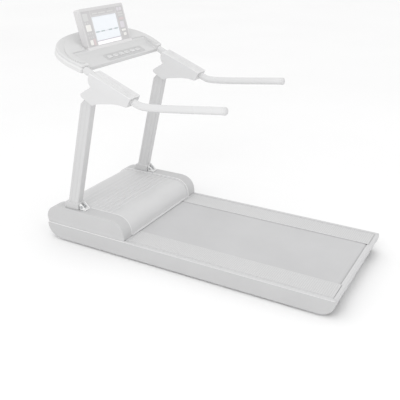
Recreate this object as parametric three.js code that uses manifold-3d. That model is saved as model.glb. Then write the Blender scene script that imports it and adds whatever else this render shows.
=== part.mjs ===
// A motorised treadmill: a low running base with a belt, a motor hood, two leaning posts with handrails,
// and a console with a tilted display. Millimetres, X to the walker's right, Y forward, Z up, floor at Z = 0.
import * as THREE from "three";
import { mergeVertices } from "three/addons/utils/BufferGeometryUtils.js";
import Module from "manifold-3d";

const wasm = await Module();
wasm.setup();

// ---------------------------------------------------------------- driving dimensions
const WIDTH = 840; // over the side panels
const LENGTH = 1900; // of the base
const BELT_WIDTH = 508; // a 20 inch running belt
const PANEL_BOTTOM = 10;
const SEAM_HEIGHT = 113; // top edge of the side panels
const HOOD_HEIGHT = 235; // top of the motor hood's end caps
const HOOD_REAR = 355; // Y where the hood meets the foot rails
const HOOD_CAP_INNER = 330; // inner edge of an end cap
const POST_WIDTH = 50;
const POST_DEPTH = 76;
const POST_LEAN = 0.249; // rearward run per unit of height
const POST_CENTRE = 371; // X of the posts and handrails
const RAIL_RADIUS = 21;
const CONSOLE_SLOPE = 22.3; // degrees, front side up
const DISPLAY_TILT = 14.4; // degrees back from upright
const INCLINE_TRAVEL = 20; // degrees of the lift frame

const HALF = WIDTH / 2;
const REAR = -LENGTH / 2;
const FRONT = LENGTH / 2;
const REAR_RADIUS = 88; // of the side panels' lower rear corner
const REAR_ROUND = [REAR + REAR_RADIUS, PANEL_BOTTOM + REAR_RADIUS];
const FRONT_RADII = [100, 89]; // of their lower front corner
const FRONT_ROUND = [FRONT - FRONT_RADII[0], PANEL_BOTTOM + FRONT_RADII[1]];
const GAP = 0.3; // between pieces that touch
const SHEET = 4; // wall of the moulded covers

// Running gear.
const ROLLER_RADIUS = 30;
const ROLLER_HALF = 264;
const ROLLER_Z = 77;
const REAR_ROLLER_Y = -900;
const FRONT_ROLLER_Y = 425;
const AXLE_RADIUS = 8.5;
const BELT_THICK = 3;
const DECK_THICK = 20;
const DECK_TOP = ROLLER_Z + ROLLER_RADIUS;

// Steel frame.
const FRAME_INNER = 298;
const FRAME_OUTER = 338;
const FRAME_BOTTOM = 36;
const FRAME_TOP = 106;
const TUBE_WALL = 3;
const FRAME_REAR = -930;
const FRAME_FRONT = 895;

// Drive.
const MOTOR_Y = 640;
const MOTOR_Z = 125;
const MOTOR_RADIUS = 52;
const MOTOR_PULLEY_RADIUS = 20;
const ROLLER_PULLEY_RADIUS = 45;
const PULLEY_IN = -264.3;
const PULLEY_OUT = -291;

// Incline lift.
const LIFT_PIVOT = [560, 56];
const LIFT_WHEEL = [830, 25];
const LIFT_HORN = [545, 131];
const LIFT_X = 150;
const WHEEL_RADIUS = 25;

// How far the horn's pin, and so the lift tube, moves forward over the whole incline.
function liftStroke() {
  const travel = THREE.MathUtils.degToRad(INCLINE_TRAVEL);
  const [y, z] = [LIFT_HORN[0] - LIFT_PIVOT[0], LIFT_HORN[1] - LIFT_PIVOT[1]];
  return y * Math.cos(travel) + z * Math.sin(travel) - y;
}
const LIFT_STROKE = liftStroke();

// ---------------------------------------------------------------- making solids
const yzToX = new THREE.Matrix4().makeBasis(
  new THREE.Vector3(0, 1, 0),
  new THREE.Vector3(0, 0, 1),
  new THREE.Vector3(1, 0, 0),
);

// A closed three.js geometry as a manifold solid with its faces pointing out.
function solid(geometry) {
  geometry.deleteAttribute("normal");
  geometry.deleteAttribute("uv");
  const merged = mergeVertices(geometry, 1e-3);
  const position = merged.getAttribute("position");
  const corners = Uint32Array.from(merged.getIndex().array);
  const [a, b, c] = [0, 1, 2].map(() => new THREE.Vector3());
  let volume = 0;
  for (let i = 0; i < corners.length; i += 3) {
    [a, b, c].forEach((point, k) => point.fromBufferAttribute(position, corners[i + k]));
    volume += a.dot(b.cross(c));
  }
  if (volume < 0) corners.reverse();
  return new wasm.Manifold(
    new wasm.Mesh({ numProp: 3, vertProperties: Float32Array.from(position.array), triVerts: corners }),
  );
}

// A solid back as a three.js geometry; mirror makes the same piece for the other side.
function geometryOf(body, mirror = false) {
  const mesh = body.getMesh();
  const geometry = new THREE.BufferGeometry();
  geometry.setAttribute("position", new THREE.BufferAttribute(Float32Array.from(mesh.vertProperties), 3));
  const corners = Uint32Array.from(mesh.triVerts);
  if (mirror) {
    geometry.scale(-1, 1, 1);
    corners.reverse();
  }
  geometry.setIndex(new THREE.BufferAttribute(corners, 1));
  geometry.computeVertexNormals();
  return geometry;
}

function outlineShape(points) {
  return new THREE.Shape(points.map(([u, v]) => new THREE.Vector2(u, v)));
}

function extruded(points, depth, bevel = 0) {
  return new THREE.ExtrudeGeometry(outlineShape(points), {
    depth: depth - 2 * bevel,
    bevelEnabled: bevel > 0,
    bevelThickness: bevel,
    bevelSize: bevel,
    bevelOffset: -bevel,
    bevelSegments: 2,
  }).translate(0, 0, bevel);
}

// An outline of [y, z] points, from x0 to x1.
function prismX(points, x0, x1, bevel = 0) {
  const geometry = extruded(points, x1 - x0, bevel).applyMatrix4(yzToX);
  return solid(geometry.translate(x0, 0, 0));
}

// An outline of [x, z] points, from y0 to y1.
function prismY(points, y0, y1) {
  return solid(extruded(points, y1 - y0).rotateX(Math.PI / 2).translate(0, y1, 0));
}

// An outline of [x, y] points, from z0 to z1.
function prismZ(points, z0, z1, bevel = 0) {
  return solid(extruded(points, z1 - z0, bevel).translate(0, 0, z0));
}

function block(x0, x1, y0, y1, z0, z1) {
  const geometry = new THREE.BoxGeometry(x1 - x0, y1 - y0, z1 - z0);
  return solid(geometry.translate((x0 + x1) / 2, (y0 + y1) / 2, (z0 + z1) / 2));
}

// A round bar along X, with a corner of its section at the very bottom.
function rodX(radius, x0, x1, [y, z], sides = 24) {
  const geometry = new THREE.CylinderGeometry(radius, radius, x1 - x0, sides).rotateZ(Math.PI / 2);
  return solid(geometry.translate((x0 + x1) / 2, y, z));
}

function rodY(radius, y0, y1, [x, z], sides = 20) {
  const geometry = new THREE.CylinderGeometry(radius, radius, y1 - y0, sides);
  return solid(geometry.translate(x, (y0 + y1) / 2, z));
}

// A turned piece standing on Z, from [radius, height] points.
function turned(profile, [x, y, z], sides = 24) {
  const geometry = new THREE.LatheGeometry(profile.map(([r, h]) => new THREE.Vector2(r, h)), sides);
  return solid(geometry.rotateX(Math.PI / 2).translate(x, y, z));
}

// A round bar or tube that follows points.
function swept(points, radius, bore = 0, steps = 26, sides = 12) {
  const section = new THREE.Shape().absarc(0, 0, radius, 0, 2 * Math.PI);
  if (bore > 0) section.holes.push(new THREE.Path().absarc(0, 0, bore, 0, 2 * Math.PI, true));
  const extrudePath = new THREE.CatmullRomCurve3(points, false, "centripetal");
  return solid(new THREE.ExtrudeGeometry(section, { extrudePath, steps, curveSegments: sides / 2 }));
}

// An elliptic stretch of outline; a power above 2 squares its shoulder.
function arc([cu, cv], ru, rv, from, to, steps, power = 2) {
  return Array.from({ length: steps + 1 }, (_, i) => {
    const angle = THREE.MathUtils.degToRad(from + ((to - from) * i) / steps);
    const c = Math.cos(angle);
    const s = Math.sin(angle);
    return [
      cu + ru * Math.sign(c) * Math.abs(c) ** (2 / power),
      cv + rv * Math.sign(s) * Math.abs(s) ** (2 / power),
    ];
  });
}

// The outline of a taut loop around two circles.
function loop([y1, z1], r1, [y2, z2], r2, steps = 14) {
  const heading = THREE.MathUtils.radToDeg(Math.atan2(z2 - z1, y2 - y1));
  const wrap = THREE.MathUtils.radToDeg(Math.acos((r1 - r2) / Math.hypot(y2 - y1, z2 - z1)));
  return [
    ...arc([y2, z2], r2, r2, heading - wrap, heading + wrap, steps),
    ...arc([y1, z1], r1, r1, heading + wrap, heading + 360 - wrap, steps),
  ];
}

// An outline moved inwards by a distance.
function inset(points, distance) {
  const area = points.reduce((sum, [u, v], i) => {
    const [nu, nv] = points[(i + 1) % points.length];
    return sum + u * nv - nu * v;
  }, 0);
  const side = Math.sign(area) * distance;
  return points.map(([u, v], i) => {
    const [pu, pv] = points.at(i - 1);
    const [nu, nv] = points[(i + 1) % points.length];
    const before = new THREE.Vector2(u - pu, v - pv).normalize();
    const after = new THREE.Vector2(nu - u, nv - v).normalize();
    const scale = side / (1 + before.dot(after));
    return [u - (before.y + after.y) * scale, v + (before.x + after.x) * scale];
  });
}

// ---------------------------------------------------------------- finishes
function finish(color, roughness, metalness = 0) {
  return { color, roughness, metalness };
}
const shellPlastic = finish(0xd6d5d6, 0.55);
const hoodPlastic = finish(0xcfcfd0, 0.5);
const consolePlastic = finish(0xd9d8d8, 0.5);
const postPaint = finish(0xe2e2e2, 0.4, 0.1);
const railPaint = finish(0xeeeeee, 0.3, 0.1);
const gripRubber = finish(0xd8d8d8, 0.8);
const beltRubber = finish(0xcbcbcc, 0.85);
const steel = finish(0x9a9b9d, 0.45, 0.8);
const framePaint = finish(0x8d8e90, 0.5, 0.2);
const motorPaint = finish(0x55575a, 0.5, 0.3);
const deckBoard = finish(0x6d5a48, 0.6);
const darkPlastic = finish(0x3c3d40, 0.6);
const wheelRubber = finish(0x4a4b4d, 0.8);
const bezelPlastic = finish(0xdcd9db, 0.4);
const screenGlass = finish(0xe6f0fa, 0.15);
const keyPlastic = finish(0xe9e9e9, 0.45);

const treadmill = new THREE.Group();

function add(name, geometry, material, group = treadmill) {
  const mesh = new THREE.Mesh(geometry, new THREE.MeshStandardMaterial(material));
  mesh.name = name;
  group.add(mesh);
}

// A piece made for the walker's right, and its mirror image for the left.
function addPair(name, body, material) {
  add(`${name}_right`, geometryOf(body), material);
  add(`${name}_left`, geometryOf(body, true), material);
}

// ---------------------------------------------------------------- outline of the posts
function postY(z, front) {
  return (front ? 784 : 784 - POST_DEPTH) - POST_LEAN * (z - (HOOD_HEIGHT + 41));
}

// Side view of a post between two heights, grown outwards by a clearance; the top is cut to a slope.
function postOutline(bottom, topRear, topFront, grow = 0) {
  return [
    [postY(bottom, true) + grow, bottom],
    [postY(topFront, true) + grow, topFront],
    [postY(topRear, false) - grow, topRear],
    [postY(bottom, false) - grow, bottom],
  ];
}
const POST_BOTTOM = 46;
const POST_TOP_REAR = 1017;
const POST_TOP_FRONT = 974;
const postIn = POST_CENTRE - POST_WIDTH / 2;
const postOut = POST_CENTRE + POST_WIDTH / 2;

// ---------------------------------------------------------------- frame of the base
{
  const tube = prismY(
    [
      [FRAME_INNER, FRAME_BOTTOM],
      [FRAME_OUTER, FRAME_BOTTOM],
      [FRAME_OUTER, FRAME_TOP],
      [FRAME_INNER, FRAME_TOP],
    ],
    FRAME_REAR,
    FRAME_FRONT,
  );
  const hollow = block(
    FRAME_INNER + TUBE_WALL,
    FRAME_OUTER - TUBE_WALL,
    FRAME_REAR - 1,
    FRAME_FRONT + 1,
    FRAME_BOTTOM + TUBE_WALL,
    FRAME_TOP - TUBE_WALL,
  );
  const postPlate = block(FRAME_OUTER - 1, postIn - GAP, 750, 860, 40, 104);
  const axleHole = AXLE_RADIUS + GAP;
  const sideFrame = tube
    .subtract(hollow)
    .add(postPlate)
    .subtract(rodX(axleHole, FRAME_INNER - 1, FRAME_OUTER + 1, [FRONT_ROLLER_Y, ROLLER_Z]))
    .subtract(rodX(axleHole, FRAME_INNER - 1, FRAME_OUTER + 1, [REAR_ROLLER_Y, ROLLER_Z]))
    .subtract(rodX(9.4, FRAME_INNER - 1, FRAME_INNER + TUBE_WALL + 1, LIFT_PIVOT));
  addPair("side_frame", sideFrame, framePaint);

  const span = FRAME_INNER - GAP;
  const underDeck = DECK_TOP - DECK_THICK - GAP;
  const crossTube = (y, z0, z1) =>
    block(-span, span, y, y + 40, z0, z1).subtract(
      block(-span - 1, span + 1, y + TUBE_WALL, y + 40 - TUBE_WALL, z0 + TUBE_WALL, z1 - TUBE_WALL),
    );
  add("middle_crossmember", geometryOf(crossTube(-120, 50, underDeck)), framePaint);
  add("rear_crossmember", geometryOf(crossTube(-760, 50, underDeck)), framePaint);

  // The front crossmember carries two lugs and a pin for the lift motor.
  const lugs = [LIFT_X - 20, LIFT_X + 10.5].map((x) => block(x, x + 9.5, 866, 894, 85, 145));
  const pin = rodX(5, LIFT_X - 20, LIFT_X + 20, [880, LIFT_HORN[1]], 16);
  const frontTube = crossTube(860, 52, 90).add(lugs[0]).add(lugs[1]).add(pin);
  add("front_crossmember", geometryOf(frontTube), framePaint);

  add(
    "deck_board",
    geometryOf(block(-297.5, 297.5, -855, 370, DECK_TOP - DECK_THICK, DECK_TOP)),
    deckBoard,
  );

  // A rubber foot on a short stem under the back of each side frame.
  const foot = turned(
    [[0, 0], [24, 0], [24, 10], [20, 14], [8, 14], [8, FRAME_BOTTOM - GAP], [0, FRAME_BOTTOM - GAP]],
    [318, -840, 0],
  );
  addPair("rear_foot", foot, wheelRubber);
}

// ---------------------------------------------------------------- belt, rollers and axles
{
  const rearAxis = [REAR_ROLLER_Y, ROLLER_Z];
  const frontAxis = [FRONT_ROLLER_Y, ROLLER_Z];
  const inner = ROLLER_RADIUS + GAP;
  const belt = prismX(
    loop(rearAxis, inner + BELT_THICK, frontAxis, inner + BELT_THICK),
    -BELT_WIDTH / 2,
    BELT_WIDTH / 2,
  ).subtract(prismX(loop(rearAxis, inner, frontAxis, inner), -BELT_WIDTH, BELT_WIDTH));
  add("walking_belt", geometryOf(belt), beltRubber);

  for (const [name, axis] of [["front", frontAxis], ["rear", rearAxis]]) {
    // A roller is a tube with a thick plug at each end that runs on the axle.
    const roller = rodX(ROLLER_RADIUS, -ROLLER_HALF, ROLLER_HALF, axis, 32)
      .subtract(rodX(ROLLER_RADIUS - 3, 16 - ROLLER_HALF, ROLLER_HALF - 16, axis, 32))
      .subtract(rodX(AXLE_RADIUS + GAP, -ROLLER_HALF - 1, ROLLER_HALF + 1, axis));
    add(`${name}_roller`, geometryOf(roller), steel);
    add(`${name}_axle`, geometryOf(rodX(AXLE_RADIUS, -FRAME_OUTER - 6, FRAME_OUTER + 6, axis)), steel);
  }

  const pulleyBore = rodX(AXLE_RADIUS + GAP, PULLEY_OUT - 1, PULLEY_IN + 1, frontAxis);
  const rimRadius = ROLLER_PULLEY_RADIUS + 5;
  const rims = [PULLEY_OUT, PULLEY_IN - 2].map((x) => rodX(rimRadius, x, x + 2, frontAxis, 32));
  const pulley = rodX(ROLLER_PULLEY_RADIUS, PULLEY_OUT, PULLEY_IN, frontAxis, 32);
  add("roller_pulley", geometryOf(pulley.add(rims[0]).add(rims[1]).subtract(pulleyBore)), steel);
}

// ---------------------------------------------------------------- side panels, foot rails and rear guard
{
  const outline = [
    [REAR, SEAM_HEIGHT],
    ...arc(REAR_ROUND, REAR_RADIUS, REAR_RADIUS, 180, 270, 7),
    ...arc(FRONT_ROUND, FRONT_RADII[0], FRONT_RADII[1], 270, 360, 7),
    [FRONT - 8, SEAM_HEIGHT], // a notch at the front of the seam
  ];
  const panelIn = HALF - 20;
  const inside = prismX(inset(outline, SHEET), panelIn - 1, HALF - SHEET);
  const panel = prismX(outline, panelIn, HALF, 3).subtract(inside);
  addPair("side_panel", panel, shellPlastic);

  const railIn = BELT_WIDTH / 2 + 3;
  const railTop = 115;
  const tuck = HALF - 6.7; // the rail's outer flange sits under the panel's rim
  const rail = prismY(
    [
      [railIn, DECK_TOP + GAP],
      [railIn, railTop - 2],
      [railIn + 2, railTop],
      [391, railTop],
      [393, 112],
      [HALF - 20.6, 112],
      [HALF - 20.6, 108.6],
      [tuck, 108.6],
      [tuck, 105.6],
      [396, 105.6],
      [396, DECK_TOP + GAP],
    ],
    REAR + 21,
    HOOD_REAR - 6,
  );
  addPair("foot_rail", rail, shellPlastic);

  // The guard hugs the panels' rounded corner and folds over the back of the belt.
  const guard = [
    ...arc(REAR_ROUND, REAR_RADIUS - 1, REAR_RADIUS - 1, 203, 180, 4),
    [REAR + 2, 111],
    [REAR + 5, 113.5],
    [REAR + 18, 113.5],
    [REAR + 20, 111],
    [REAR + 7, 110.5],
    ...arc(REAR_ROUND, REAR_RADIUS - 3.5, REAR_RADIUS - 3.5, 180, 203, 4),
  ];
  add("rear_guard", geometryOf(prismX(guard, -(HALF - 20.5), HALF - 20.5)), darkPlastic);
}

// ---------------------------------------------------------------- motor hood
{
  // The nose overhangs the seam a little at the front; the haunch falls steeply to the belt.
  const shoulder = [845, 147];
  const haunch = [470, 125];
  const hoodOutline = (inward, base) => {
    const nose = arc(shoulder, FRONT - 845 - inward, HOOD_HEIGHT - 147 - inward, -18, 90, 8);
    const [noseY] = nose[0];
    return [
      [noseY - 4, base],
      ...nose,
      ...arc(haunch, 470 - HOOD_REAR - inward, HOOD_HEIGHT - 125 - inward, 90, 180, 8, 2.4),
      [HOOD_REAR + inward, base],
    ];
  };

  // Ribs across the middle cover stand on its flat top.
  const recess = 8;
  const cover = HOOD_CAP_INNER - GAP;
  const top = HOOD_HEIGHT - recess;
  const ribs = Array.from({ length: 10 }, (_, i) => {
    const y = 520 + 28 * i;
    const profile = [[y, top - 1], [y + 3, top + 3], [y + 13, top + 3], [y + 16, top - 1]];
    return prismX(profile, -cover + 6, cover - 6);
  });
  const shell = prismX(hoodOutline(recess, SEAM_HEIGHT + 5), -cover, cover)
    .subtract(prismX(hoodOutline(recess + SHEET, SEAM_HEIGHT + 4), -HALF, HALF));
  const lip = block(-cover, cover, HOOD_REAR - 4, HOOD_REAR + 12, SEAM_HEIGHT + 3.5, SEAM_HEIGHT + 7);
  const skirtHalf = HALF - 20.5;
  const skirt = prismX(
    [
      ...arc(FRONT_ROUND, FRONT_RADII[0] - 6, FRONT_RADII[1] - 6, 318, 360, 5),
      [FRONT - 6, SEAM_HEIGHT - GAP],
      [FRONT - 10, SEAM_HEIGHT - GAP],
      ...arc(FRONT_ROUND, FRONT_RADII[0] - 10, FRONT_RADII[1] - 10, 360, 318, 5),
    ],
    -skirtHalf,
    skirtHalf,
  );
  const link = block(-cover, cover, FRONT - 22, FRONT - 6, SEAM_HEIGHT - 3, SEAM_HEIGHT + 8);
  const inletHole = block(-297, -222.5, FRONT - 40, FRONT + 1, 105.5, 131);
  const middle = ribs.reduce((body, rib) => body.add(rib), shell).add(lip).add(skirt).add(link);
  add("hood_cover", geometryOf(middle.subtract(inletHole)), hoodPlastic);

  const base = SEAM_HEIGHT + GAP;
  const postHole = prismX(postOutline(200, 260, 260, 1), postIn - 1, postOut + 1);
  const cap = prismX(hoodOutline(0, base), HOOD_CAP_INNER, HALF, 2)
    .subtract(prismX(hoodOutline(12.3, base - 20), HOOD_CAP_INNER - 5, HOOD_CAP_INNER + 15))
    .subtract(prismX(hoodOutline(SHEET, base - 20), HOOD_CAP_INNER + 14, HALF - SHEET))
    .subtract(postHole);
  addPair("hood_cap", cap, shellPlastic);

  // Collar where a post comes through the cap, and the clevis bracket bolted behind it.
  const seat = HOOD_HEIGHT + GAP;
  const collar = prismX([[812, seat], [795, 276], [701, 276], [703, seat]], postIn - 7, postOut + 7, 2)
    .subtract(prismX(postOutline(200, 300, 300, 0.4), postIn - 0.4, postOut + 0.4));
  addPair("post_foot", collar, postPaint);

  const cheek = [[654, seat], [700, seat], [700, 274], [690, 276], [654, 242]];
  const bracket = prismX(cheek, postIn + 4, postIn + 9)
    .add(prismX(cheek, postOut - 9, postOut - 4))
    .add(block(postIn + 5, postOut - 5, 656, 700, seat, seat + 4))
    .add(rodX(6, postIn + 5, postOut - 5, [684, 255], 12));
  addPair("post_bracket", bracket, railPaint);
}

// ---------------------------------------------------------------- posts and handrails
const railPath = [
  [618, 1128],
  [583, 1110],
  [532, 1084],
  [450, 1045],
  [265, 966],
  [230, 953],
  [176, 950],
  [-284, 994],
].map(([y, z]) => new THREE.Vector3(POST_CENTRE, y, z));
{
  const wall = 3;
  const post = prismX(postOutline(POST_BOTTOM, POST_TOP_REAR, POST_TOP_FRONT), postIn, postOut)
    .subtract(prismX(postOutline(0, 1200, 1200, -wall), postIn + wall, postOut - wall));
  addPair("post", post, postPaint);
  addPair("handrail", swept(railPath, RAIL_RADIUS, RAIL_RADIUS - 2.5), railPaint);

  // Domed plug in the rear end of each handrail.
  const [end, before] = [railPath.at(-1), railPath.at(-2)];
  const plugProfile = [
    [0, -18],
    [RAIL_RADIUS - 3.2, -18],
    [RAIL_RADIUS - 3.2, GAP],
    [RAIL_RADIUS + 0.8, GAP],
    [RAIL_RADIUS + 0.8, 9],
    [RAIL_RADIUS - 3, 16],
    [RAIL_RADIUS - 10, 20],
    [0, 21.5],
  ];
  const lathe = new THREE.LatheGeometry(plugProfile.map(([r, h]) => new THREE.Vector2(r, h)), 20);
  const aim = new THREE.Quaternion().setFromUnitVectors(
    new THREE.Vector3(0, 1, 0),
    end.clone().sub(before).normalize(),
  );
  lathe.applyQuaternion(aim).translate(end.x, end.y, end.z);
  addPair("handrail_cap", solid(lathe), darkPlastic);
}

// ---------------------------------------------------------------- gusset boxes and their pads
{
  const outline = [
    [260, 996],
    [532, 1107],
    [538, 1094],
    [544, 1064],
    [539, 1043],
    [527, 1030],
    [574, 1002],
    [606, 982],
    [602, 964],
    [526, 922],
    [495, 936],
    [454, 942],
    [383, 951],
    [332, 950],
    [288, 942],
  ];
  const gussetIn = 317;
  const gussetOut = 413;
  const padDepth = 3;
  const slope = 111 / 272; // of the top edge
  const padTop = (y, lift) => [y, 996 + slope * (y - 260) + lift];
  const padSlot = [padTop(250, -padDepth), padTop(524, -padDepth), padTop(524, 30), padTop(250, 30)];
  const hollow = inset(outline, SHEET).map(([y, z]) => [y, Math.min(z, padTop(y, -padDepth - SHEET)[1])]);
  const gusset = prismX(outline, gussetIn, gussetOut, 1.5)
    .subtract(prismX(hollow, gussetIn + SHEET, gussetOut - SHEET))
    .subtract(prismX([[250, 900], [300, 900], [300, 1004], [250, 984]], gussetIn + SHEET, gussetOut - SHEET)
      .subtract(prismX([[240, 840], [310, 840], [310, 951], [240, 935]], gussetIn, gussetOut)))
    .subtract(prismX(padSlot, gussetIn + 6, gussetOut - 6))
    .subtract(swept(railPath, RAIL_RADIUS + 0.6))
    .subtract(prismX(postOutline(850, 1017, 974, 0.5), postIn - 0.5, postOut + 0.5));
  addPair("gusset", gusset, postPaint);

  const pad = prismX(
    [padTop(264, GAP - padDepth), padTop(523, GAP - padDepth), padTop(521, 2.5), padTop(266, 2.5)],
    gussetIn + 6.4,
    gussetOut - 6.4,
  ).subtract(swept(railPath, RAIL_RADIUS + 0.6));
  addPair("grip_pad", pad, gripRubber);
}

// ---------------------------------------------------------------- motor, its belt, pan and controller
{
  const axis = [MOTOR_Y, MOTOR_Z];
  const shaftRadius = 8;
  const canIn = -60;
  const canOut = -232;
  const can = rodX(MOTOR_RADIUS, canOut, canIn, axis, 28).subtract(rodX(shaftRadius + 0.5, -HALF, 0, axis));
  add("drive_motor", geometryOf(can), motorPaint);

  const flywheel = rodX(shaftRadius, PULLEY_OUT - 2, canIn, axis)
    .add(rodX(60, -262, -240, axis, 28))
    .add(rodX(MOTOR_PULLEY_RADIUS, PULLEY_OUT, -264, axis, 24));
  add("motor_flywheel", geometryOf(flywheel), steel);

  const frontAxis = [FRONT_ROLLER_Y, ROLLER_Z];
  const band = (thick) => loop(frontAxis, ROLLER_PULLEY_RADIUS + thick, axis, MOTOR_PULLEY_RADIUS + thick);
  const driveBelt = prismX(band(3.6), PULLEY_OUT + 2.5, PULLEY_IN - 2.5)
    .subtract(prismX(band(0.6), -HALF, 0));
  add("drive_belt", geometryOf(driveBelt), darkPlastic);

  const panZ = 60;
  const saddle = block(-210, -90, 600, 680, panZ + 2, 105);
  const pan = block(-280, 95, 600, 859.5, panZ, panZ + 3)
    .add(block(-297.5, -270, 765, 859.5, panZ, panZ + 3))
    .add(saddle)
    .subtract(rodX(MOTOR_RADIUS + 0.4, -HALF, 0, axis, 28));
  add("motor_pan", geometryOf(pan), framePaint);

  // Heat sink fins stand on the controller's base.
  const fins = [[-35, 70], ...Array.from({ length: 9 }, (_, i) => {
    const x = -35 + 12.6 * i;
    return [[x, 104], [x + 5, 104], [x + 5, 78], [x + 12.6, 78]];
  }).flat().slice(0, -1), [70.8, 70]];
  const controller = prismY(fins, 712, 850).add(block(-45, 85, 705, 855, panZ + 3 + GAP, 71));
  add("motor_controller", geometryOf(controller), darkPlastic);
}

// ---------------------------------------------------------------- incline lift
{
  const armIn = 284;
  const armOut = 291;
  const arm = (x0, x1) => prismX(loop(LIFT_PIVOT, 15, LIFT_WHEEL, 12, 6), x0, x1);
  const ear = (x0, x1) => prismX(loop(LIFT_PIVOT, 14, LIFT_HORN, 11, 6), x0, x1);
  const stub = (x0, x1) => rodX(6, x0, x1, LIFT_WHEEL, 16);
  const tie = [740, 35];
  const frame = rodX(12, -297, 297, LIFT_PIVOT)
    .add(rodX(9, -310, 310, LIFT_PIVOT))
    .add(rodX(9, -armOut + 2, armOut - 2, tie))
    .add(arm(armIn, armOut))
    .add(arm(-armOut, -armIn))
    .add(stub(257, armIn + 1))
    .add(stub(-armIn - 1, -257))
    .add(ear(LIFT_X - 14, LIFT_X - 9))
    .add(ear(LIFT_X + 9, LIFT_X + 14))
    .add(rodX(6, LIFT_X - 14, LIFT_X + 14, LIFT_HORN, 16));
  add("lift_frame", geometryOf(frame), framePaint);

  const wheel = rodX(WHEEL_RADIUS, 260, 282, LIFT_WHEEL, 28).subtract(rodX(6.4, 250, 290, LIFT_WHEEL, 16));
  addPair("lift_wheel", wheel, wheelRubber);

  // The tube's eye has 2 mm of play on the horn's pin, because the pin moves on a shallow arc.
  const [hornY, hornZ] = LIFT_HORN;
  const neckEnd = hornY + 35;
  const tubeEnd = 760 - LIFT_STROKE - 30;
  const eye = prismX(loop(LIFT_HORN, 12, [neckEnd, hornZ], 9, 8), LIFT_X - 7, LIFT_X + 7);
  const nutTube = rodY(13, neckEnd, tubeEnd, [LIFT_X, hornZ])
    .add(eye)
    .subtract(rodX(8, LIFT_X - 10, LIFT_X + 10, LIFT_HORN, 20))
    .subtract(rodY(9, neckEnd + 5, tubeEnd + 1, [LIFT_X, hornZ]));
  add("lift_tube", geometryOf(nutTube), steel);

  add("lift_screw", geometryOf(rodY(8, neckEnd + LIFT_STROKE + 8, 788, [LIFT_X, hornZ])), steel);

  const lug = loop([805, hornZ], 10, [880, hornZ], 10, 8);
  const liftMotor = block(LIFT_X - 35, LIFT_X + 100, 760, 800, 100, 162)
    .add(rodY(28, 640, 762, [LIFT_X + 70, hornZ], 24))
    .add(prismX(lug, LIFT_X - 8, LIFT_X + 8))
    .subtract(rodY(8.5, 750, 790, [LIFT_X, hornZ]))
    .subtract(rodX(5.4, LIFT_X - 10, LIFT_X + 10, [880, hornZ], 16));
  add("lift_motor", geometryOf(liftMotor), motorPaint);
}

// ---------------------------------------------------------------- power inlet with its rocker switch
{
  const wallY = FRONT - 14;
  const flange = block(-300, -219.5, FRONT - 5.5, FRONT - 3, 102.5, 134);
  const body = block(-296.5, -223, wallY - 20, FRONT - 4, 106, 130.5);
  const socket = block(-292, -262, wallY - 12, FRONT, 109, 127.5);
  const rockerBay = block(-252, -230, wallY - 8, FRONT, 106.5, 130);
  add("power_inlet", geometryOf(flange.add(body).subtract(socket).subtract(rockerBay)), darkPlastic);

  const pressed = THREE.MathUtils.degToRad(8);
  const rocker = [[8, -9.5], [6, 0], [8, 9.5], [-4, 4], [-4, -4]].map(([y, z]) => [
    FRONT - 13 + y * Math.cos(pressed) - z * Math.sin(pressed),
    118 + y * Math.sin(pressed) + z * Math.cos(pressed),
  ]);
  add("power_switch", geometryOf(prismX(rocker, -251, -231)), wheelRubber);
}

// ---------------------------------------------------------------- console tray and buttons
// Local X is across, Y up the slope and Z square to it, from the rear lower edge.
const tray = new THREE.Group();
tray.position.set(0, 595, 1104);
tray.rotation.x = THREE.MathUtils.degToRad(CONSOLE_SLOPE);
treadmill.add(tray);
tray.updateWorldMatrix(true, false);

const display = new THREE.Group();
display.position.set(0, 690.5, 1193.6);
display.rotation.x = THREE.MathUtils.degToRad(-DISPLAY_TILT);
treadmill.add(display);
display.updateWorldMatrix(true, false);

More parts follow.
